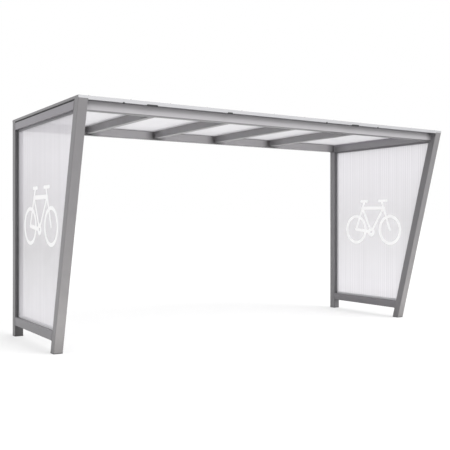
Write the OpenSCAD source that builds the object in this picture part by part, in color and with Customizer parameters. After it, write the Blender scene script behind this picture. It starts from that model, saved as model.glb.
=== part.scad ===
/* [Shelter] */
// Length over the two end frames
shelter_l = 4100; // [3700:50:4800]
// Height of the posts
post_h = 2040; // [1900:10:2300]
// Front of a rear post to the front of the front post, at the ground
foot_reach = 1065; // [900:5:1300]
// Lean of the front posts from upright, in degrees
post_lean = 15; // [8:0.5:18]

/* [Frame tubes] */
// Side of the square tube of posts, bottom rails and beams
tube = 80; // [70:1:90]
// Wall of the tubes
tube_wall = 3; // [2:0.5:4]
// Outer corner radius of the tubes
tube_round = 6; // [5:0.5:10]
// Height of the side rails under the roof
side_rail_h = 68; // [50:1:74]
// Clear height under the bottom rails
bottom_gap = 105; // [60:5:200]
// Set-back of the front beam from the front edge of the roof
beam_setback = 72; // [60:1:84]
// Thickness of the pads under the posts
foot_t = 6; // [3:0.5:12]

/* [Rafters] */
// Outer face of the left frame to the first rafter
first_rafter = 715; // [600:5:800]
// Spacing of the rafters
rafter_pitch = 760; // [700:5:800]
// Width of a rafter
rafter_w = 60; // [40:1:70]
// Height of a rafter
rafter_h = 70; // [50:1:76]

/* [Twin-wall sheets] */
// Thickness of the sheets
sheet_t = 16; // [10:0.5:20]
// Thickness of a skin
sheet_skin = 1.2; // [0.8:0.1:2]
// Thickness of a rib between the skins
rib_t = 1; // [0.6:0.1:2]
// Spacing of the ribs
rib_pitch = 32; // [20:1:50]
// Play between a sheet's edge and the profile that holds it
sheet_play = 6; // [3:0.5:10]

/* [Edge profiles] */
// Wall of the roof trim
trim_t = 3; // [2:0.5:4]
// Width of the trim's lip over the roof
trim_lip = 34; // [25:1:50]
// Width of the front trim's flange under the roof
front_flange = 110; // [90:1:130]
// Drop of the drip edge below the front trim
drip = 8; // [4:0.5:15]
// Radius of the trim's upper edge
trim_round = 2; // [1:0.5:2.5]
// Width of a joint bar over a rafter
bar_w = 56; // [40:1:60]
// Width of the joint between two roof sheets
joint_w = 12; // [8:1:20]
// Wall of the channels that hold the side panels
channel_wall = 2; // [1.5:0.5:3]
// Depth of those channels
channel_d = 20; // [15:1:30]
// Set-back of the roof gasket from the faces of a side rail
gasket_inset = 6; // [3:1:12]
// Thickness of the rubber seals beside the rear channels
seal_t = 3; // [2:0.5:4]
// Width of the foot of the inner seal, along the post
seal_bead = 6; // [5:0.5:9]

/* [Hidden] */
$fn = 48;

paint_grey = "#8f8f93";
trim_grey = "#c6c6ca";
opal_white = "#e4e3e8";
seal_black = "#1b1b1d";

lean_run = post_h * tan(post_lean);
depth = tube + foot_reach + lean_run;
y_rear = depth / 2;
y_front = -depth / 2;
y_post = y_rear - tube;
y_foot = y_post - foot_reach;
x_left = -shelter_l / 2;
inner_l = shelter_l - 2 * tube;
side_run = foot_reach + lean_run;
rail_z = post_h - tube;
side_rail_top = rail_z + side_rail_h;
bottom_top = bottom_gap + tube;
sheet_z = post_h + trim_t;
trim_h = sheet_t + 2 * trim_t;
channel_w = sheet_t + 2 * channel_wall;
channel_x = x_left + (tube - channel_w) / 2;
panel_inset = channel_wall + sheet_play;
beam_y = y_front + beam_setback;
rafter_run = y_post - beam_y - tube;
sheet_inset = trim_t + sheet_play;
rear_seal_foot = (tube - channel_w) / 2 - tube_round;
rafter_count = 4;
sheet_count = rafter_count + 1;
mitre = 45;
spare = 400;

// Left face of rafter i, counted from 1
function rafter_x(i) = x_left + first_rafter + (i - 1) * rafter_pitch;

// Middle of rafter i, where two roof sheets meet
function joint_x(i) = rafter_x(i) + rafter_w / 2;

// Back face of the leaning post at height z
function post_back(z) = y_foot + tube / cos(post_lean) - z * tan(post_lean);

// Rectangle with four round corners
module rounded(w, h, r) {
    translate([r, 0]) square([w - 2 * r, h]);
    translate([0, r]) square([w, h - 2 * r]);
    for (x = [r, w - r], y = [r, h - r]) translate([x, y]) circle(r);
}

// Section of a rectangular tube
module tube_section(w, h) {
    inner_round = tube_round - tube_wall;
    difference() {
        rounded(w, h, tube_round);
        translate([tube_wall, tube_wall]) rounded(w - 2 * tube_wall, h - 2 * tube_wall, inner_round);
    }
}

// Frame of the leaning post: local Y runs back from its front face, Z along it
module leaning() {
    translate([x_left, y_foot, 0]) rotate([post_lean, 0, 0]) translate([0, 0, -spare]) children();
}

// Part of the children between two heights
module between(z0, z1) {
    intersection() {
        children();
        translate([x_left - spare, y_front - spare, z0]) cube([2 * spare, depth + 2 * spare, z1 - z0]);
    }
}

// Part of the children behind the leaning post
module behind_post() {
    difference() {
        children();
        leaning() translate([-spare, tube - depth, 0]) cube([2 * spare, depth, post_h + 2 * spare]);
    }
}

// Extrusion that runs forward from a rear post, its section in X and Z
module forward(length) {
    rotate([90, 0, 0]) linear_extrude(length) children();
}

// Extrusion that runs to the right, its section in Y and Z
module rightward(length) {
    rotate([90, 0, 90]) linear_extrude(length) children();
}

// The right frame mirrors the left one
module on_right() {
    mirror([1, 0, 0]) children();
}

module rear_post() {
    color(paint_grey) translate([x_left, y_post, foot_t])
        linear_extrude(post_h - foot_t) tube_section(tube, tube);
}

module front_post() {
    color(paint_grey) between(foot_t, post_h)
        leaning() linear_extrude(post_h + 2 * spare) tube_section(tube, tube);
}

module rear_foot() {
    color(seal_black) translate([x_left, y_post, 0]) linear_extrude(foot_t) rounded(tube, tube, tube_round);
}

module front_foot() {
    color(seal_black) between(0, foot_t)
        leaning() linear_extrude(post_h + 2 * spare) rounded(tube, tube, tube_round);
}

module side_rail(z, h) {
    color(paint_grey) behind_post()
        translate([x_left, y_post, z]) forward(side_run) tube_section(tube, h);
}

module beam(y) {
    color(paint_grey) translate([x_left + tube, y, rail_z]) rightward(inner_l) tube_section(tube, tube);
}

module rafter(i) {
    color(paint_grey) translate([rafter_x(i), y_post, sheet_z - rafter_h])
        forward(rafter_run) tube_section(rafter_w, rafter_h);
}

// Section of a channel, open at the top
module channel_section() {
    difference() {
        square([channel_w, channel_d]);
        translate([channel_wall, channel_wall]) square([sheet_t, channel_d]);
    }
}

module bottom_channel() {
    color(trim_grey) behind_post()
        translate([channel_x, y_post, bottom_top]) forward(side_run) channel_section();
}

module top_channel() {
    color(trim_grey) behind_post()
        translate([channel_x, y_post, rail_z]) mirror([0, 0, 1]) forward(side_run) channel_section();
}

module rear_channel() {
    z0 = bottom_top + channel_d;
    z1 = rail_z - channel_d;
    color(trim_grey) translate([channel_x, y_post, z0])
        mirror([0, 1, 0]) linear_extrude(z1 - z0) channel_section();
}

module front_channel() {
    color(trim_grey) between(bottom_top + channel_d, rail_z - channel_d)
        leaning() translate([channel_x - x_left, tube, 0])
            linear_extrude(post_h + 2 * spare) channel_section();
}

// Section of a seal: a foot on the post and a lip on the channel, with round free edges
module seal_section(foot) {
    r = seal_t / 2;
    square([foot - r, seal_t]);
    translate([foot - r, r]) circle(r);
    square([seal_t, channel_d - r]);
    translate([r, channel_d - r]) circle(r);
}

// A wide seal outside the panel and a narrow one inside it
module rear_seal() {
    h = rail_z - bottom_top;
    color(seal_black) translate([channel_x, y_post, bottom_top]) mirror([0, 1, 0]) {
        mirror([1, 0, 0]) linear_extrude(h) seal_section(rear_seal_foot);
        translate([channel_w, 0, 0]) linear_extrude(h) seal_section(seal_bead);
    }
}

// Section of a twin-wall sheet: two skins and the ribs between them
module twin_wall(w) {
    cells = round(w / rib_pitch);
    pitch = (w - rib_t) / cells;
    difference() {
        square([w, sheet_t]);
        for (i = [0 : cells - 1])
            translate([rib_t + i * pitch, sheet_skin]) square([pitch - rib_t, sheet_t - 2 * sheet_skin]);
    }
}

// The side panel's flutes stand upright, and its front edge follows the leaning post
module panel() {
    z0 = bottom_top + panel_inset;
    z1 = rail_z - panel_inset;
    y1 = y_post - panel_inset;
    edge = panel_inset / cos(post_lean);
    w = y1 - post_back(z1) - edge;
    color(opal_white) intersection() {
        translate([channel_x + channel_wall, y1, z0]) rotate([0, 0, -90])
            linear_extrude(z1 - z0) twin_wall(w);
        translate([channel_x, 0, 0]) rightward(channel_w)
            polygon([[y1, z0], [y1, z1], [post_back(z1) + edge, z1], [post_back(z0) + edge, z0]]);
    }
}

// Roof sheet i lies between joints i - 1 and i, its flutes from front to rear
module roof_sheet(i) {
    x0 = i == 1 ? x_left + sheet_inset : joint_x(i - 1) + joint_w / 2;
    x1 = i == sheet_count ? -x_left - sheet_inset : joint_x(i) - joint_w / 2;
    color(opal_white) translate([x0, y_rear - sheet_inset, sheet_z])
        forward(depth - 2 * sheet_inset) twin_wall(x1 - x0);
}

// T-section over a rafter: its web stands in the joint, its head covers the sheets' edges
module joint_bar(i) {
    y0 = y_rear - trim_lip;
    color(trim_grey) translate([joint_x(i), y0, sheet_z]) forward(depth - 2 * trim_lip) {
        translate([-trim_t / 2, 0]) square([trim_t, sheet_t + trim_t]);
        translate([-bar_w / 2, sheet_t]) square([bar_w, trim_t]);
    }
}

module roof_gasket() {
    color(seal_black) behind_post() translate([x_left + gasket_inset, y_post, side_rail_top])
        forward(side_run) square([tube - 2 * gasket_inset, post_h - side_rail_top]);
}

// Section of the roof trim: web on the outside, lip over the sheet, flange under it
module trim_section(flange) {
    square([flange, trim_t]);
    difference() {
        union() {
            square([trim_lip, trim_h - trim_round]);
            translate([trim_round, 0]) square([trim_lip - trim_round, trim_h]);
            translate([trim_round, trim_h - trim_round]) circle(trim_round);
        }
        translate([trim_t, trim_t]) square([trim_lip, sheet_t]);
    }
}

// Mitre at both ends of a trim that starts at the origin and runs to the right
module mitred(length) {
    difference() {
        children();
        for (x = [0, length]) translate([x, 0, -spare]) rotate([0, 0, mitre]) cube([depth, depth, 2 * spare]);
    }
}

module front_trim() {
    color(trim_grey) translate([x_left, y_front, post_h]) {
        mitred(shelter_l) rightward(shelter_l) trim_section(front_flange);
        translate([tube, 0, -drip]) cube([inner_l, trim_t, drip]);
    }
}

module rear_trim() {
    color(trim_grey) translate([-x_left, y_rear, post_h]) rotate([0, 0, 180])
        mitred(shelter_l) rightward(shelter_l) trim_section(tube);
}

module side_trim() {
    color(trim_grey) translate([x_left, y_rear, post_h]) rotate([0, 0, -90])
        mitred(depth) rightward(depth) trim_section(tube);
}

module left_rear_post() { rear_post(); }
module left_front_post() { front_post(); }
module left_top_rail() { side_rail(rail_z, side_rail_h); }
module left_bottom_rail() { side_rail(bottom_gap, tube); }
module right_rear_post() { on_right() rear_post(); }
module right_front_post() { on_right() front_post(); }
module right_top_rail() { on_right() side_rail(rail_z, side_rail_h); }
module right_bottom_rail() { on_right() side_rail(bottom_gap, tube); }
module left_rear_foot() { rear_foot(); }
module left_front_foot() { front_foot(); }
module right_rear_foot() { on_right() rear_foot(); }
module right_front_foot() { on_right() front_foot(); }
module rear_beam() { beam(y_post); }
module front_beam() { beam(beam_y); }
module left_panel() { panel(); }
module left_top_channel() { top_channel(); }
module left_bottom_channel() { bottom_channel(); }
module left_rear_channel() { rear_channel(); }
module left_front_channel() { front_channel(); }
module left_rear_seal() { rear_seal(); }
module right_rear_seal() { on_right() rear_seal(); }
module right_panel() { on_right() panel(); }
module right_top_channel() { on_right() top_channel(); }
module right_bottom_channel() { on_right() bottom_channel(); }
module right_rear_channel() { on_right() rear_channel(); }
module right_front_channel() { on_right() front_channel(); }
module left_roof_gasket() { roof_gasket(); }
module right_roof_gasket() { on_right() roof_gasket(); }
module left_trim() { side_trim(); }
module right_trim() { on_right() side_trim(); }

left_rear_post();
left_front_post();
left_top_rail();
left_bottom_rail();
right_rear_post();
right_front_post();
right_top_rail();
right_bottom_rail();
left_rear_foot();
left_front_foot();
right_rear_foot();
right_front_foot();
rear_beam();
front_beam();
for (i = [1 : rafter_count]) rafter(i);
left_panel();
left_top_channel();
left_bottom_channel();
left_rear_channel();
left_front_channel();
left_rear_seal();
right_rear_seal();
right_panel();
right_top_channel();
right_bottom_channel();
right_rear_channel();
right_front_channel();
for (i = [1 : sheet_count]) roof_sheet(i);
for (i = [1 : rafter_count]) joint_bar(i);
left_roof_gasket();
right_roof_gasket();
front_trim();
rear_trim();
left_trim();
right_trim();
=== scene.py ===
import math
from fnmatch import fnmatch

import bmesh
import bpy
from mathutils import Matrix, Vector
from mathutils.geometry import delaunay_2d_cdt


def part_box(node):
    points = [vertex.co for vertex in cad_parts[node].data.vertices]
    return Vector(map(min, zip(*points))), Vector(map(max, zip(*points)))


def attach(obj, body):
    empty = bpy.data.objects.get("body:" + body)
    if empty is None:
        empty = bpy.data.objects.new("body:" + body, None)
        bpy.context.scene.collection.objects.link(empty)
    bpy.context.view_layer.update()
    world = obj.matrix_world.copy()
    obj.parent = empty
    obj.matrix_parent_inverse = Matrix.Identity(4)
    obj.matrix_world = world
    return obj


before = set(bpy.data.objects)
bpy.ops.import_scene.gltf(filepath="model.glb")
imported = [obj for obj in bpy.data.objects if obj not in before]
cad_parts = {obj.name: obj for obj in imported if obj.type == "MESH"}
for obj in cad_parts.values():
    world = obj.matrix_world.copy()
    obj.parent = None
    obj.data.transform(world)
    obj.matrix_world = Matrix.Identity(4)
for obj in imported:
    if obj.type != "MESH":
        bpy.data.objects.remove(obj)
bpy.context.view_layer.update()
scene = bpy.context.scene
scene.view_settings.view_transform = "Standard"
scene.cycles.diffuse_bounces = 8  # light that wanders inside the twin-wall sheets
scene.cycles.transparent_max_bounces = 24
rafters = [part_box(node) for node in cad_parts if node.startswith("rafter")]
print("frame loaded with", len(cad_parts), "nodes")

# camera: level, so uprights stay upright, with the horizon moved by the shift
viewpoint = {
    "imageSide": 450,  # pixels
    "focalLength": 709.9,  # pixels
    "horizonRow": 219.1,  # pixels from the top
    "turn": 33.09,  # degrees to the right of +Y
    "place": (-4.0584, -5.9658, 1.1148),  # metres
    "sensor": 36,  # mm
}


def makeCamera(spec):
    side = spec["imageSide"]
    data = bpy.data.cameras.new("front_left_view")
    data.sensor_width = spec["sensor"]
    data.lens = spec["focalLength"] * spec["sensor"] / side
    data.shift_y = (spec["horizonRow"] - side / 2) / side
    camera = bpy.data.objects.new("front_left_view", data)
    camera.location = spec["place"]
    camera.rotation_euler = (math.pi / 2, 0, -math.radians(spec["turn"]))
    scene.collection.objects.link(camera)
    scene.camera = camera


makeCamera(viewpoint)
print("camera set")


class Value:
    # a shader socket that takes + - * / and gives the Math node's output
    def __init__(self, tree, socket):
        self.tree = tree
        self.socket = socket

    def maths(self, operation, first, second):
        return self.tree.node("ShaderNodeMath", {"operation": operation}, {0: first, 1: second})

    def __add__(self, other):
        return self.maths("ADD", self, other)

    def __radd__(self, other):
        return self.maths("ADD", other, self)

    def __sub__(self, other):
        return self.maths("SUBTRACT", self, other)

    def __rsub__(self, other):
        return self.maths("SUBTRACT", other, self)

    def __mul__(self, other):
        return self.maths("MULTIPLY", self, other)

    def __rmul__(self, other):
        return self.maths("MULTIPLY", other, self)

    def __truediv__(self, other):
        return self.maths("DIVIDE", self, other)

    def __rtruediv__(self, other):
        return self.maths("DIVIDE", other, self)

    def __abs__(self):
        return self.maths("ABSOLUTE", self, 0)


class ShaderTree:
    def __init__(self, owner):
        owner.use_nodes = True
        self.owner = owner
        self.nodes = owner.node_tree.nodes
        self.links = owner.node_tree.links
        self.nodes.clear()

    def node(self, kind, settings, sockets, output=0):
        made = self.nodes.new(kind)
        for name, value in settings.items():
            setattr(made, name, value)
        for key, value in sockets.items():
            if isinstance(value, Value):
                self.links.new(value.socket, made.inputs[key])
            else:
                made.inputs[key].default_value = value
        if not made.outputs:
            return self.owner  # the tree ends here
        return Value(self, made.outputs[output])

    def place(self):
        return self.node("ShaderNodeTexCoord", {}, {}, "Object")

    def facing(self):
        return self.node("ShaderNodeTexCoord", {}, {}, "Normal")

    def along(self, vector, axis):
        return self.node("ShaderNodeSeparateXYZ", {}, {0: vector}, axis)

    def stretched(self, vector, amounts):
        return self.node("ShaderNodeVectorMath", {"operation": "MULTIPLY"}, {0: vector, 1: amounts})

    def noise(self, vector, scale=1):
        return self.node("ShaderNodeTexNoise", {}, {"Vector": vector, "Scale": scale})

    def blend(self, first, second, share):
        return first * (1 - share) + second * share

    def span(self, value, low, high):
        return self.node("ShaderNodeMapRange", {"clamp": True}, {0: value, 1: low, 2: high})

    def mixed(self, first, second, share):
        # sockets 6 and 7 and output 2 are the Mix node's colours
        return self.node("ShaderNodeMix", {"data_type": "RGBA"}, {0: share, 6: first, 7: second}, 2)

    def bump(self, height, strength, distance):
        sockets = {"Strength": strength, "Distance": distance, "Height": height}
        return self.node("ShaderNodeBump", {}, sockets)

    def principled(self, sockets):
        return self.node("ShaderNodeBsdfPrincipled", {}, sockets)

    def either(self, share, first, second):
        return self.node("ShaderNodeMixShader", {}, {0: share, 1: first, 2: second})

    def seen(self):
        # 1 for what the camera sees straight, in a reflection or through glass
        path = "ShaderNodeLightPath"
        camera = self.node(path, {}, {}, "Is Camera Ray")
        glossy = self.node(path, {}, {}, "Is Glossy Ray")
        through = self.node(path, {}, {}, "Is Transmission Ray")
        return self.span(camera + glossy + through, 0, 1)

    def output(self, shader, kind="ShaderNodeOutputMaterial"):
        return self.node(kind, {}, {"Surface": shader})


def newTree(name):
    return ShaderTree(bpy.data.materials.new(name))


def beamJoints():
    # along X: both ends of the rear beam, and the middle of each rafter
    ends = [corner.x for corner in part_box("rear_beam")]
    return ends + [(low.x + high.x) / 2 for low, high in rafters]


# frame paint: grey powder coat with a fine metal flake
framePaint = {
    "dark": (0.130, 0.126, 0.133, 1),
    "pale": (0.162, 0.157, 0.165, 1),
    "cloudScale": 2.2,
    "runStretch": (14, 14, 0.8),
    "runShare": 0.5,
    "flakeScale": 2600,
    "flakeShare": 0.25,
    "peelScale": 420,
    "peelStrength": 0.12,
    "peelDepth": 0.0004,
    "metallic": 0.05,
    "roughness": 0.36,
    "roughnessSpread": 0.12,
    "gloss": 1.5,  # refractive index
    "coat": 0.2,
    "coatRoughness": 0.2,
    # dust that also stands in for light: paler towards the ground as painted bounce light from the floor
    "dustAndLight": (0.475, 0.455, 0.445, 1),
    "dustAndLightTop": 1.95,
    "dustAndLightLeast": 0.27,  # at the top
    "dustAndLightScale": 9,
    "dustAndLightPatches": 0.4,  # share of the dust and painted light that comes and goes
    "dustAndLightOnSides": 0.15,  # sides get less than fronts and backs, as painted light on the fronts
    "dustAndLightCover": 0.62,
    "dustAndLightRoughness": 0.2,
    # painted shade: a dark colour laid where shade falls
    "paintedShade": (0.050, 0.048, 0.050, 1),
    "shadeBelow": 0.25,  # painted shade on undersides
    "shadeFoot": 0.3,  # painted shade at the ground
    "footTop": 0.2,
    "shadeHood": 0,  # painted shade right under the roof's edge
    "hoodTop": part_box("front_beam")[1].z,
    "hoodReach": 0.05,
    "jointAxis": "Y",
    "jointPlaces": (),  # along that axis
    "jointReach": 0.25,
    "shadeJoint": 0,  # painted shade in the corner of a joint
}
railPaint = dict(
    framePaint,
    dark=(0.146, 0.140, 0.150, 1),
    pale=(0.183, 0.176, 0.188, 1),
    dustAndLightCover=0.12,
)
# paler copy for the top rails and cover strips: painted light
topRailPaint = dict(railPaint, dark=(0.173, 0.164, 0.182, 1), pale=(0.216, 0.205, 0.227, 1))
# paler copy for the right top rail as painted light, with painted shade at both of its ends
rightRailPaint = dict(
    topRailPaint,
    dark=(0.187, 0.182, 0.190, 1),
    pale=(0.234, 0.228, 0.238, 1),
    jointPlaces=[corner.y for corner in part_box("right_top_rail")],
    shadeJoint=0.35,
)
# rear posts: tone set to the light they get, as painted light, darkening towards the ground as painted
# shade
rearPostPaint = dict(
    framePaint,
    dark=(0.150, 0.147, 0.153, 1),
    pale=(0.187, 0.182, 0.190, 1),
    dustAndLight=(0.030, 0.028, 0.027, 1),  # painted shade at the foot
    dustAndLightTop=0.4,
    dustAndLightLeast=0,
    dustAndLightCover=0.3,
    shadeFoot=0,
)
# darker copy for the left rear post, fully darkened at its foot: painted shade
leftRearPaint = dict(
    rearPostPaint,
    dark=(0.110, 0.108, 0.112, 1),
    pale=(0.138, 0.134, 0.142, 1),
    dustAndLightCover=1,
)
# darker copy for the cleats and their bolts: painted shade at the rafter joints
cleatPaint = dict(railPaint, dark=(0.095, 0.092, 0.094, 1), pale=(0.125, 0.121, 0.123, 1))
# paler copy for the rafters as painted light, with painted shade where they meet the beams
rafterPaint = dict(
    framePaint,
    dark=(0.185, 0.181, 0.187, 1),
    pale=(0.225, 0.220, 0.227, 1),
    jointPlaces=(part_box("front_beam")[1].y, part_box("rear_beam")[0].y),
    shadeJoint=0.6,
)
# paler copy for the front beam as painted light, with painted shade under it, a painted shadow under the
# roof's edge and a painted shadow of the post at its right end
frontBeamPaint = dict(
    framePaint,
    dark=(0.376, 0.366, 0.385, 1),
    pale=(0.434, 0.423, 0.443, 1),
    shadeBelow=0.9,
    shadeHood=0.55,
    jointAxis="X",
    jointPlaces=(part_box("front_beam")[1].x,),
    jointReach=0.08,
    shadeJoint=0.6,
)
# paler copy for the rear beam as painted light, with painted shade under it and beside each joint
rearBeamPaint = dict(
    framePaint,
    dark=(0.284, 0.277, 0.289, 1),
    pale=(0.334, 0.326, 0.339, 1),
    shadeBelow=0.6,
    jointAxis="X",
    jointPlaces=beamJoints(),
    jointReach=0.13,
    shadeJoint=1,
)


def powderCoat(name, spec):
    tree = newTree(name)
    place = tree.place()
    cloud = tree.noise(place, spec["cloudScale"])
    runs = tree.noise(tree.stretched(place, spec["runStretch"]))
    flake = tree.noise(place, spec["flakeScale"])
    height = tree.along(place, "Z")
    # dust and painted light: stronger towards the ground and on fronts and backs
    low = tree.span(height, spec["dustAndLightTop"], 0)
    patches = 1 - spec["dustAndLightPatches"] * tree.noise(place, spec["dustAndLightScale"])
    toRear = tree.along(tree.facing(), "Y")
    facing = tree.blend(spec["dustAndLightOnSides"], 1, abs(toRear))
    dustAndLight = tree.blend(spec["dustAndLightLeast"], 1, low * low) * patches * facing
    # painted shade under things, at the ground, right under the roof's edge and in joint corners
    below = tree.span(tree.along(tree.facing(), "Z"), 0, -1)
    foot = tree.span(height, spec["footTop"], 0)
    hood = tree.span(height, spec["hoodTop"] - spec["hoodReach"], spec["hoodTop"])
    corners = sum(
        tree.span(abs(tree.along(place, spec["jointAxis"]) - joint), spec["jointReach"], 0)
        for joint in spec["jointPlaces"])
    notRear = tree.span(toRear, 1, 0)  # rear faces get none of the painted shade at joints
    paintedShade = below * spec["shadeBelow"] + foot * spec["shadeFoot"] + hood * spec["shadeHood"]
    paintedShade = paintedShade + corners * spec["shadeJoint"] * notRear
    tone = tree.blend(tree.blend(cloud, runs, spec["runShare"]), flake, spec["flakeShare"])
    paint = tree.mixed(spec["dark"], spec["pale"], tone)
    withDustAndLight = tree.mixed(paint, spec["dustAndLight"], dustAndLight * spec["dustAndLightCover"])
    peel = tree.noise(place, spec["peelScale"])
    return tree.output(tree.principled({
        "Base Color": tree.mixed(withDustAndLight, spec["paintedShade"], paintedShade),
        "Metallic": spec["metallic"],
        "IOR": spec["gloss"],
        "Roughness": spec["roughness"] + cloud * spec["roughnessSpread"] + dustAndLight * spec["dustAndLightRoughness"],
        "Coat Weight": spec["coat"],
        "Coat Roughness": spec["coatRoughness"],
        "Normal": tree.bump(peel, spec["peelStrength"], spec["peelDepth"]),
    }))


# aluminium: drawn sections with fine lines along their length
trimMetal = {
    "dark": (0.38, 0.38, 0.395, 1),
    "pale": (0.45, 0.45, 0.46, 1),
    "metallic": 0.25,
    "roughness": 0.27,
    "lineScale": 900,
    "lineStretch": 0.004,
    "lineShare": 0.4,
    "lineStrength": 0.1,
    "lineDepth": 0.0003,
    "lineRoughness": 0.2,
    "cloudScale": 3,
    "cloudRoughness": 0.1,
}
channelMetal = dict(trimMetal, dark=(0.46, 0.46, 0.475, 1), pale=(0.56, 0.56, 0.575, 1))
# darker copy for the rear channels: painted shade
darkMetal = dict(trimMetal, dark=(0.25, 0.25, 0.26, 1), pale=(0.31, 0.31, 0.32, 1))
# paler copy for the left bottom channel: a painted highlight along the top of the left bottom rail
highlightMetal = dict(trimMetal, dark=(0.58, 0.575, 0.595, 1), pale=(0.70, 0.695, 0.715, 1))
screwMetal = dict(
    trimMetal,
    dark=(0.50, 0.50, 0.51, 1),
    pale=(0.62, 0.62, 0.62, 1),
    metallic=0.9,
    lineStretch=1,
)


def drawnMetal(name, spec, lengthAxis):
    tree = newTree(name)
    place = tree.place()
    stretch = [spec["lineStretch"] if axis == lengthAxis else 1 for axis in "XYZ"]
    lines = tree.noise(tree.stretched(place, stretch), spec["lineScale"])
    cloud = tree.noise(place, spec["cloudScale"])
    tone = tree.blend(cloud, lines, spec["lineShare"])
    return tree.output(tree.principled({
        "Base Color": tree.mixed(spec["dark"], spec["pale"], tone),
        "Metallic": spec["metallic"],
        "Roughness": spec["roughness"] + lines * spec["lineRoughness"] + cloud * spec["cloudRoughness"],
        "Normal": tree.bump(lines, spec["lineStrength"], spec["lineDepth"]),
    }))


# opal twin-wall sheet: the skin on its low side scatters most of the light, the rest stays nearly clear
panelSheet = {
    "sheet": "left_panel",
    "thicknessAxis": "X",
    "skin": 0.0012,
    "dark": (0.418, 0.41, 0.430, 1),
    "pale": (0.966, 0.945, 0.983, 1),
    "through": (0.811, 0.795, 0.828, 1),  # tint of the light that comes through
    "opalClear": 0.3,
    "insideClear": 0.95,
    "ribHaze": 0.06,
    "ribWidth": 0.2,  # share of the pitch
    "throughShare": 0.5,
    "roughness": 0.3,
    "fluteAxis": "Y",
    "fluteStart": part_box("left_panel")[1].y,
    "flutePitch": 0.03166,
    "fluteShare": 0.65,
    "streakScale": 34,  # across the flutes
    "streakRun": 0.5,  # along them
    "streakDark": 0.3,  # noise level
    "streakPale": 0.7,
    "streakShare": 0.25,
    "panelShade": (0.325, 0.331, 0.306, 1),  # painted shade, darkest at the given height
    "panelShadeHeight": 1.02,
    "panelShadeReach": 0.65,
    "panelShadeScale": 5,
    "panelShadePatches": 0.4,  # share of the painted shade that comes and goes
    "panelShadeCover": 0.58,
    "cloudScale": 3,
    "grainScale": 700,
    "grainStrength": 0.05,
    "grainDepth": 0.0003,
}
# the left panel has its opal skin outside; its copy lets more light through and carries a heavier
# painted shade low down
leftPanelSheet = dict(
    panelSheet,
    through=(0.867, 0.85, 0.885, 1),
    panelShade=(0.176, 0.180, 0.164, 1),
    panelShadeHeight=0.85,
    panelShadeReach=0.8,
    panelShadeCover=0.8,
)
roofSheet = dict(
    panelSheet,
    sheet="roof_sheet_1",
    thicknessAxis="Z",
    dark=(0.55, 0.541, 0.563, 1),
    pale=(0.826, 0.814, 0.84, 1),
    through=(0.70, 0.69, 0.71, 1),
    fluteAxis="X",
    fluteStart=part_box("roof_sheet_1")[0].x,
    flutePitch=0.032,
    fluteShare=0.3,
)


def ribLines(tree, place, spec):
    turns = (tree.along(place, spec["fluteAxis"]) - spec["fluteStart"]) / spec["flutePitch"]
    fromRib = turns.maths("PINGPONG", turns, 0.5)  # 0 at a rib, 0.5 between two
    return tree.span(fromRib, spec["ribWidth"], 0)


def opalSheet(name, spec):
    tree = newTree(name)
    place = tree.place()
    cloud = tree.noise(place, spec["cloudScale"])
    grain = tree.noise(place, spec["grainScale"])
    low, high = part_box(spec["sheet"])
    axis = "XYZ".index(spec["thicknessAxis"])
    middle, half = abs(low[axis] + high[axis]) / 2, (high[axis] - low[axis]) / 2
    across = tree.along(place, spec["thicknessAxis"])
    depth = across - across.maths("SIGN", across, 0) * middle  # from the middle of the sheet
    opal = tree.span(depth, spec["skin"] - half, -half)  # 1 on the low side's face
    rib = ribLines(tree, place, spec)
    run = [spec["streakScale"] if letter == spec["fluteAxis"] else spec["streakRun"] for letter in "XYZ"]
    streak = tree.span(tree.noise(tree.stretched(place, run)), spec["streakDark"], spec["streakPale"])
    tone = (1 - rib) * spec["fluteShare"] + streak * spec["streakShare"]
    tone = tone + cloud * (1 - spec["fluteShare"] - spec["streakShare"])
    # painted shade: a darker band around a height
    away = abs(tree.along(place, "Z") - spec["panelShadeHeight"])
    patches = 1 - spec["panelShadePatches"] * tree.noise(place, spec["panelShadeScale"])
    panelShade = tree.span(away, spec["panelShadeReach"], 0) * patches
    clean = tree.mixed(spec["dark"], spec["pale"], tone)
    colour = tree.mixed(clean, spec["panelShade"], panelShade * spec["panelShadeCover"])
    normal = tree.bump(grain, spec["grainStrength"], spec["grainDepth"])
    skin = tree.principled({"Base Color": colour, "Roughness": spec["roughness"], "Normal": normal})
    glow = tree.node("ShaderNodeBsdfTranslucent", {}, {"Color": spec["through"]})
    clear = tree.node("ShaderNodeBsdfTransparent", {}, {})
    body = tree.either(spec["throughShare"], skin, glow)
    haze = opal * (spec["insideClear"] - spec["opalClear"]) + rib * spec["ribHaze"]
    return tree.output(tree.either(spec["insideClear"] - haze, body, clear))


# rubber: gaskets, seals, foot pads and clips
rubber = {
    "dark": (0.012, 0.012, 0.013, 1),
    "worn": (0.035, 0.035, 0.036, 1),
    "roughness": 0.52,
    "roughnessSpread": 0.2,
    "grainScale": 500,
    "grainStrength": 0.25,
    "grainDepth": 0.0004,
    "cloudScale": 12,
}
sealRubber = dict(rubber, dark=(0.072, 0.072, 0.075, 1), worn=(0.136, 0.136, 0.139, 1))
# paler copy for the right rear seal: painted light
litSealRubber = dict(rubber, dark=(0.136, 0.136, 0.141, 1), worn=(0.205, 0.205, 0.210, 1))
padRubber = dict(rubber, dark=(0.02, 0.02, 0.021, 1), worn=(0.05, 0.05, 0.05, 1))


def blackRubber(name, spec):
    tree = newTree(name)
    place = tree.place()
    grain = tree.noise(place, spec["grainScale"])
    cloud = tree.noise(place, spec["cloudScale"])
    return tree.output(tree.principled({
        "Base Color": tree.mixed(spec["dark"], spec["worn"], cloud),
        "Roughness": spec["roughness"] + cloud * spec["roughnessSpread"],
        "Normal": tree.bump(grain, spec["grainStrength"], spec["grainDepth"]),
    }))


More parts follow.
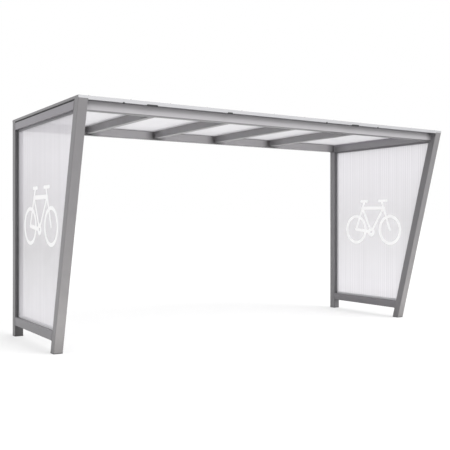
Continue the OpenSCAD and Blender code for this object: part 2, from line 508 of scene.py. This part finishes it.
# sign film: white, a little glossy, with the sheet's ribs just showing through it
signFilm = {
    "dark": (0.94, 0.94, 0.94, 1),
    "pale": (0.985, 0.985, 0.985, 1),
    "ribShare": 0.5,
    "gloss": 1.3,  # refractive index
    "roughness": 0.3,
    "roughnessSpread": 0.2,
    "cloudScale": 6,
    "waveScale": 40,
    "waveStrength": 0.05,
    "waveDepth": 0.001,
}
# darker copy for the left sign: painted shade
shadedFilm = dict(signFilm, dark=(0.79, 0.79, 0.795, 1), pale=(0.88, 0.88, 0.88, 1))


def whiteFilm(name, spec):
    tree = newTree(name)
    place = tree.place()
    cloud = tree.noise(place, spec["cloudScale"])
    wave = tree.noise(place, spec["waveScale"])
    tone = tree.blend(cloud, 1 - ribLines(tree, place, panelSheet), spec["ribShare"])
    return tree.output(tree.principled({
        "Base Color": tree.mixed(spec["dark"], spec["pale"], tone),
        "IOR": spec["gloss"],
        "Roughness": spec["roughness"] + wave * spec["roughnessSpread"],
        "Normal": tree.bump(wave, spec["waveStrength"], spec["waveDepth"]),
    }))


postGrey = powderCoat("post_paint", framePaint)
railGrey = powderCoat("rail_paint", railPaint)
topRailGrey = powderCoat("top_rail_paint", topRailPaint)
rightRailGrey = powderCoat("right_rail_paint", rightRailPaint)
rearPostGrey = powderCoat("rear_post_paint", rearPostPaint)
leftRearGrey = powderCoat("left_rear_post_paint", leftRearPaint)
cleatGrey = powderCoat("cleat_paint", cleatPaint)
rafterGrey = powderCoat("rafter_paint", rafterPaint)
frontBeamGrey = powderCoat("front_beam_paint", frontBeamPaint)
rearBeamGrey = powderCoat("rear_beam_paint", rearBeamPaint)
trimX = drawnMetal("trim_metal_x", trimMetal, "X")
trimY = drawnMetal("trim_metal_y", trimMetal, "Y")
channelY = drawnMetal("channel_metal_y", channelMetal, "Y")
channelZ = drawnMetal("channel_metal_z", channelMetal, "Z")
darkZ = drawnMetal("channel_metal_dark", darkMetal, "Z")
highlightY = drawnMetal("channel_metal_highlight", highlightMetal, "Y")
screwZinc = drawnMetal("screw_zinc", screwMetal, "Z")
panelOpal = opalSheet("panel_sheet", panelSheet)
leftPanelOpal = opalSheet("panel_sheet_left", leftPanelSheet)
roofOpal = opalSheet("roof_sheet", roofSheet)
gasketBlack = blackRubber("gasket_rubber", rubber)
sealBlack = blackRubber("seal_rubber", sealRubber)
sealGrey = blackRubber("seal_rubber_lit", litSealRubber)
padBlack = blackRubber("foot_pad", padRubber)
filmInside = whiteFilm("sign_film", signFilm)
filmOutside = whiteFilm("sign_film_shaded", shadedFilm)

# the first pattern that fits a node's name gives its finish
finishes = (
    ("front_trim", trimX),
    ("joint_bar*", trimY),
    ("front_beam", frontBeamGrey),
    ("rear_beam", rearBeamGrey),
    ("rafter*", rafterGrey),
    ("roof_sheet*", roofOpal),
    ("left_panel", leftPanelOpal),
    ("right_panel", panelOpal),
    ("*gasket", gasketBlack),
    ("right_rear_seal", sealGrey),
    ("*seal", sealBlack),
    ("*foot", padBlack),
    ("*rear_channel", darkZ),
    ("*front_channel", channelZ),
    ("left_bottom_channel", highlightY),
    ("*bottom_channel", channelY),
    # the top channels take the darker rail paint instead of bare metal: painted shade under the rails
    ("*top_channel", railGrey),
    ("*bottom_rail", railGrey),
    ("left_top_rail", topRailGrey),
    ("right_top_rail", rightRailGrey),
    ("left_rear_post", leftRearGrey),
    ("right_rear_post", rearPostGrey),
    ("*", postGrey),
)
for node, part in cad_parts.items():
    part.data.materials.clear()
    part.data.materials.append(next(finish for pattern, finish in finishes if fnmatch(node, pattern)))
print("finishes set on the CAD nodes")


def addPiece(name, mesh, finish):
    data = bpy.data.meshes.new(name)
    mesh.to_mesh(data)
    mesh.free()
    data.materials.append(finish)
    piece = bpy.data.objects.new(name, data)
    scene.collection.objects.link(piece)
    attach(piece, "root")


edgeSteps = 2  # faces across a rounded edge


def roundEdges(mesh, radius):
    bmesh.ops.bevel(mesh, geom=mesh.edges[:], offset=radius, segments=edgeSteps, affect="EDGES")


def addBlock(mesh, low, high):
    for vert in bmesh.ops.create_cube(mesh, size=1)["verts"]:
        vert.co = [high[i] if vert.co[i] > 0 else low[i] for i in range(3)]


def thicken(mesh, faces, step):
    raised = bmesh.ops.extrude_face_region(mesh, geom=faces)["geom"]
    for vert in raised:
        if isinstance(vert, bmesh.types.BMVert):
            vert.co += step


# bike sign: cut from film, drawn from the rear axle toward the front wheel
bikeSign = {
    "rearAxle": 0.405,  # place along Y
    "leftHeight": 1.053,
    "rightHeight": 0.991,
    "wheelBase": 0.550,
    "wheelRadius": 0.173,
    "wheelStroke": 0.033,
    "crank": (0.252, -0.029),
    "crankRadius": 0.052,
    "crankHole": 0.016,
    "seat": (0.085, 0.190),  # from, to
    "handlebar": (0.377, 0.502),
    "topHeight": 0.338,
    "barStroke": 0.030,
    "seatPost": 0.142,
    "stem": 0.420,
    "tubeHeight": 0.254,
    "tubeStroke": 0.038,
    "thinStroke": 0.028,
    "stayStroke": 0.035,
    "lift": 0.0001,
    "thickness": 0.0003,
    "arcSteps": 64,
    "capSteps": 10,
    "joinGap": 1e-5,  # points closer than this become one
}


def roundedBar(start, end, stroke):
    start, end, steps = Vector(start), Vector(end), bikeSign["capSteps"]
    heading = math.atan2(end.y - start.y, end.x - start.x)
    outline = []
    for centre, first in ((end, heading - math.pi / 2), (start, heading + math.pi / 2)):
        for step in range(steps + 1):
            angle = first + math.pi * step / steps
            outline.append(centre + Vector((math.cos(angle), math.sin(angle))) * stroke / 2)
    return [outline]


def ringPieces(centre, outer, inner, steps):
    def spot(radius, step):
        angle = math.tau * step / steps
        return Vector(centre) + Vector((math.cos(angle), math.sin(angle))) * radius

    return [[spot(inner, step), spot(outer, step), spot(outer, step + 1), spot(inner, step + 1)]
            for step in range(steps)]


def bikeShapes(spec):
    base, top, tube = spec["wheelBase"], spec["topHeight"], spec["tubeHeight"]
    radius, stroke, thin = spec["wheelRadius"], spec["wheelStroke"], spec["thinStroke"]
    rear, front, crank = (0, 0), (base, 0), spec["crank"]
    seatTop = (spec["seatPost"], top)
    stemTop = (spec["stem"], top)
    seatJoint = (spec["seatPost"] * tube / top, tube)
    head = (spec["stem"] + (base - spec["stem"]) * (1 - tube / top), tube)
    shapes = []
    for centre in (rear, front):
        shapes += ringPieces(centre, radius, radius - stroke, spec["arcSteps"])
    shapes += ringPieces(crank, spec["crankRadius"], spec["crankHole"], spec["arcSteps"] // 2)
    shapes += roundedBar((spec["seat"][0], top), (spec["seat"][1], top), spec["barStroke"])
    shapes += roundedBar((spec["handlebar"][0], top), (spec["handlebar"][1], top), spec["barStroke"])
    shapes += roundedBar(seatJoint, head, spec["tubeStroke"])
    for start, end in ((seatTop, rear), (stemTop, front)):
        shapes += roundedBar(start, end, thin)
    crankMiddle = (spec["crankRadius"] + spec["crankHole"]) / 2  # where the tubes end in the ring
    for start, width in ((seatJoint, thin), (head, thin), (rear, spec["stayStroke"])):
        gap = (Vector(start) - Vector(crank)).normalized() * crankMiddle
        shapes += roundedBar(start, Vector(crank) + gap, width)
    return shapes


def unionMesh(shapes, joinGap):
    points = [point for shape in shapes for point in shape]
    faces, first = [], 0
    for shape in shapes:
        faces.append(list(range(first, first + len(shape))))
        first += len(shape)
    insideOnly = 1
    made = delaunay_2d_cdt(points, [], faces, insideOnly, joinGap)
    spots, triangles, sources = made[0], made[2], made[5]
    return spots, [triangle for triangle, source in zip(triangles, sources) if source]


def makeSign(name, sheetFace, height, film, spec):
    spots, triangles = unionMesh(bikeShapes(spec), spec["joinGap"])
    mesh = bmesh.new()
    x = sheetFace - spec["lift"]
    verts = [mesh.verts.new((x, spec["rearAxle"] - spot.x, height + spot.y)) for spot in spots]
    faces = [mesh.faces.new([verts[i] for i in triangle]) for triangle in triangles]
    loose = [vert for vert in mesh.verts if not vert.link_faces]
    bmesh.ops.delete(mesh, geom=loose, context="VERTS")
    thicken(mesh, faces, Vector((-spec["thickness"], 0, 0)))
    bmesh.ops.recalc_face_normals(mesh, faces=mesh.faces)
    addPiece(name, mesh, film)


for side, film in (("left", filmOutside), ("right", filmInside)):
    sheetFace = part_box(side + "_panel")[0].x
    makeSign("bike_sign_" + side, sheetFace, bikeSign[side + "Height"], film, bikeSign)
print("bike signs cut")

# clips: dark plastic hooks under the front trim's lower edge
clips = {
    "spans": (  # from, to along X
        (-1.680, -1.664), (-1.470, -1.370), (-0.691, -0.639),
        (0.427, 0.443), (0.756, 0.849), (1.100, 1.116),
    ),
    "proud": 0.001,
    "height": 0.015,
    "depth": 0.010,
    "drop": 0.007,
    "round": 0.002,
}


def makeClips(spec):
    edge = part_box("front_trim")[0]
    front, rear = edge.y - spec["proud"], edge.y + spec["depth"]
    lower = edge.z - spec["drop"]
    mesh = bmesh.new()
    for start, end in spec["spans"]:
        addBlock(mesh, (start, front, lower), (end, rear, lower + spec["height"]))
    roundEdges(mesh, spec["round"])
    addPiece("drain_clips", mesh, gasketBlack)


makeClips(clips)
print("clips made")

# screws: hexagon heads on washers
screw = {
    "washerSides": 16,
    "headSides": 6,
    "washerRadius": 0.0075,
    "washerTopRadius": 0.0065,
    "washerHeight": 0.0015,
    "headRadius": 0.0048,
    "headTopRadius": 0.0040,
    "headHeight": 0.0042,
    "endGap": 0.09,
    "spacing": 0.36,
    "lip": 0.034,  # width of the trim's top lip
}


def addScrew(mesh, place, heading, spec):
    turn = heading.to_track_quat("Z", "Y").to_matrix().to_4x4()
    half = spec["headHeight"] / 2
    washer, head = spec["washerHeight"], spec["headRadius"]
    stages = (
        (spec["washerSides"], spec["washerRadius"], spec["washerTopRadius"], 0, washer),
        (spec["headSides"], head, head, washer, half),
        (spec["headSides"], head, spec["headTopRadius"], washer + half, half),
    )
    for sides, lower, upper, start, height in stages:
        lift = Matrix.Translation((0, 0, start + height / 2))
        bmesh.ops.create_cone(
            mesh, cap_ends=True, segments=sides, radius1=lower, radius2=upper, depth=height,
            matrix=Matrix.Translation(place) @ turn @ lift)


def evenly(start, end, spec):
    first, last = start + spec["endGap"], end - spec["endGap"]
    gaps = math.ceil((last - first) / spec["spacing"])
    return [first + (last - first) * step / gaps for step in range(gaps + 1)]


def roofScrewPlaces(spec):
    lip = spec["lip"] / 2
    places = []
    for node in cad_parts:
        low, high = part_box(node)
        middle = (low.x + high.x) / 2
        if node.startswith("joint_bar"):
            places += [(middle, y, high.z) for y in evenly(low.y, high.y, spec)]
        if node in ("left_trim", "right_trim"):
            x = low.x + lip if middle < 0 else high.x - lip
            places += [(x, y, high.z) for y in evenly(low.y, high.y, spec)]
        if node in ("front_trim", "rear_trim"):
            y = low.y + lip if low.y < 0 else high.y - lip
            places += [(x, y, high.z) for x in evenly(low.x, high.x, spec)]
    return places


def makeRoofScrews(spec):
    mesh = bmesh.new()
    for place in roofScrewPlaces(spec):
        addScrew(mesh, Vector(place), Vector((0, 0, 1)), spec)
    addPiece("roof_screws", mesh, screwZinc)


makeRoofScrews(screw)
print("roof screws set")

# cleats: bent angles that bolt each rafter to the beams
cleat = {
    "leg": 0.020,
    "thickness": 0.004,
    "height": 0.056,
    "lift": 0.006,  # above the rafter's underside
    "round": 0.0012,
}


def addCleat(mesh, corner, outX, outY, spec):
    leg, thick = spec["leg"], spec["thickness"]
    outline = ((0, 0), (leg, 0), (leg, thick), (thick, thick), (thick, leg), (0, leg))
    spots = [corner + Vector((outX * x, outY * y, 0)) for x, y in outline]
    base = mesh.faces.new([mesh.verts.new(spot) for spot in spots])
    thicken(mesh, [base], Vector((0, 0, spec["height"])))


def makeCleats(spec):
    plates, heads = bmesh.new(), bmesh.new()
    reach = (spec["leg"] + spec["thickness"]) / 2
    for low, high in rafters:
        for x, outX in ((low.x, -1), (high.x, 1)):
            for y, outY in ((low.y, 1), (high.y, -1)):
                corner = Vector((x, y, low.z + spec["lift"]))
                addCleat(plates, corner, outX, outY, spec)
                middle = corner + Vector((0, 0, spec["height"] / 2))
                onBeam = middle + Vector((outX * reach, outY * spec["thickness"], 0))
                onRafter = middle + Vector((outX * spec["thickness"], outY * reach, 0))
                addScrew(heads, onBeam, Vector((0, outY, 0)), screw)
                addScrew(heads, onRafter, Vector((outX, 0, 0)), screw)
    bmesh.ops.recalc_face_normals(plates, faces=plates.faces)
    roundEdges(plates, spec["round"])
    # the cleats take the darker cleat paint, as painted shade in the joints
    addPiece("rafter_cleats", plates, cleatGrey)
    addPiece("cleat_screws", heads, cleatGrey)


makeCleats(cleat)
print("cleats bolted on")

# cover strips: painted flats that close the gap over each side rail on its inner side
coverStrip = {
    "thickness": 0.0015,
    "lap": 0.010,  # down over the rail
    "gap": 0.0005,  # below the roof sheet
    "round": 0.0005,
}


def makeCoverStrips(spec):
    start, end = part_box("front_beam")[1].y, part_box("rear_beam")[0].y
    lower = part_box("left_top_rail")[1].z - spec["lap"]
    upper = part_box("roof_sheet_1")[0].z - spec["gap"]
    mesh = bmesh.new()
    for face, out in ((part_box("left_top_rail")[1].x, 1), (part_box("right_top_rail")[0].x, -1)):
        near, far = sorted((face, face + spec["thickness"] * out))
        addBlock(mesh, (near, start, lower), (far, end, upper))
    roundEdges(mesh, spec["round"])
    addPiece("cover_strips", mesh, topRailGrey)


makeCoverStrips(coverStrip)
print("cover strips set")

# welds: painted beads where the tubes of an end frame meet, and where the beams meet the frames
weld = {
    "railRadius": 0.004,
    "beamRadius": 0.006,
    "inset": 0.0015,  # from the tube's face to the middle of the bead
    "ripple": 0.0006,
    "step": 0.004,
    "sides": 10,
}


def addBead(mesh, corners, normal, thickness, spec):
    path = []
    for start, end in zip(corners, corners[1:]):
        steps = math.ceil((end - start).length / spec["step"])
        path += [start.lerp(end, step / steps) for step in range(steps)]
    path.append(corners[-1])
    rings = []
    for i, spot in enumerate(path):
        ahead = path[min(i + 1, len(path) - 1)] - path[max(i - 1, 0)]
        across = ahead.normalized().cross(normal)
        radius = thickness + spec["ripple"] * (i % 2)
        ring = []
        for side in range(spec["sides"]):
            angle = math.tau * side / spec["sides"]
            out = normal * math.cos(angle) + across * math.sin(angle)
            ring.append(mesh.verts.new(spot + out * radius))
        rings.append(ring)
    for near, far in zip(rings, rings[1:]):
        for side in range(spec["sides"]):
            after = (side + 1) % spec["sides"]
            mesh.faces.new((near[side], near[after], far[after], far[side])).smooth = True
    mesh.faces.new(rings[0][::-1])
    mesh.faces.new(rings[-1])


def railLoops(node, spec):
    # round both ends of a side rail; its front end follows the leaning post
    low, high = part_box(node)
    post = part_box(node.split("_")[0] + "_front_post")
    tube = high.x - low.x  # the post is of the same tube
    lean = (post[1].y - post[0].y - tube) / (post[1].z - post[0].z)
    inset = spec["inset"]
    left, right, lower, upper = low.x + inset, high.x - inset, low.z + inset, high.z - inset
    square = ((left, lower), (right, lower), (right, upper), (left, upper), (left, lower))
    rear = [Vector((x, high.y, z)) for x, z in square]
    front = [Vector((x, low.y + (high.z - z) * lean, z)) for x, z in square]
    return ((rear, Vector((0, 1, 0))), (front, Vector((0, 1, lean)).normalized()))


def beamLoops(node, spec):
    low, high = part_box(node)
    inset = spec["inset"]
    near, far, lower, upper = low.y + inset, high.y - inset, low.z + inset, high.z - inset
    square = ((near, upper), (near, lower), (far, lower), (far, upper))
    return [([Vector((x, y, z)) for y, z in square], Vector((1, 0, 0))) for x in (low.x, high.x)]


def makeWelds(spec):
    mesh = bmesh.new()
    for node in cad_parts:
        loops, radius = (), 0
        if node.endswith("rail"):
            loops, radius = railLoops(node, spec), spec["railRadius"]
        if node.endswith("beam"):
            loops, radius = beamLoops(node, spec), spec["beamRadius"]
        for corners, normal in loops:
            addBead(mesh, corners, normal, radius, spec)
    bmesh.ops.recalc_face_normals(mesh, faces=mesh.faces)
    addPiece("weld_beads", mesh, railGrey)


makeWelds(weld)
print("welds laid")

# floor and light
studio = {
    "floorHalf": 400,
    "floorWhite": (0.9, 0.9, 0.9, 1),
    "floorGlow": 0.5,  # share of plain white that the camera sees
    "contactReach": 0.25,
    "contactShade": 0.5,  # share of that white lost close to a foot
    "contactSamples": 8,
    "white": (1, 1, 1, 1),
    "sky": 1.0,
    "keyFrom": (0.35, -0.72, 0.60),
    "keySpread": 45,  # degrees
    "keyLevel": 0.60,  # share of full white on a face square to it
}


def makeFloor(spec):
    mesh = bmesh.new()
    bmesh.ops.create_grid(mesh, x_segments=1, y_segments=1, size=spec["floorHalf"])
    data = bpy.data.meshes.new("floor")
    mesh.to_mesh(data)
    mesh.free()
    tree = newTree("floor_white")
    matt = tree.node("ShaderNodeBsdfDiffuse", {}, {"Color": spec["floorWhite"]})
    glow = tree.node("ShaderNodeEmission", {}, {"Color": spec["white"], "Strength": 1})
    settings, reach = {"samples": spec["contactSamples"]}, {"Distance": spec["contactReach"]}
    openness = tree.node("ShaderNodeAmbientOcclusion", settings, reach, "AO")
    share = spec["floorGlow"] * tree.blend(1 - spec["contactShade"], 1, openness)
    data.materials.append(tree.output(tree.either(tree.seen() * share, matt, glow)))
    floor = bpy.data.objects.new("floor", data)
    scene.collection.objects.link(floor)


def makeLight(spec):
    world = bpy.data.worlds.new("studio")
    scene.world = world
    tree = ShaderTree(world)
    white, soft = [
        tree.node("ShaderNodeBackground", {}, {"Color": spec["white"], "Strength": strength})
        for strength in (1, spec["sky"])
    ]
    tree.output(tree.either(tree.seen(), soft, white), "ShaderNodeOutputWorld")
    data = bpy.data.lights.new("key_light", "SUN")
    data.energy = spec["keyLevel"] * math.pi
    data.angle = math.radians(spec["keySpread"])
    lamp = bpy.data.objects.new("key_light", data)
    lamp.rotation_euler = Vector(spec["keyFrom"]).to_track_quat("Z", "Y").to_euler()
    scene.collection.objects.link(lamp)


makeFloor(studio)
makeLight(studio)
print("floor and light set")
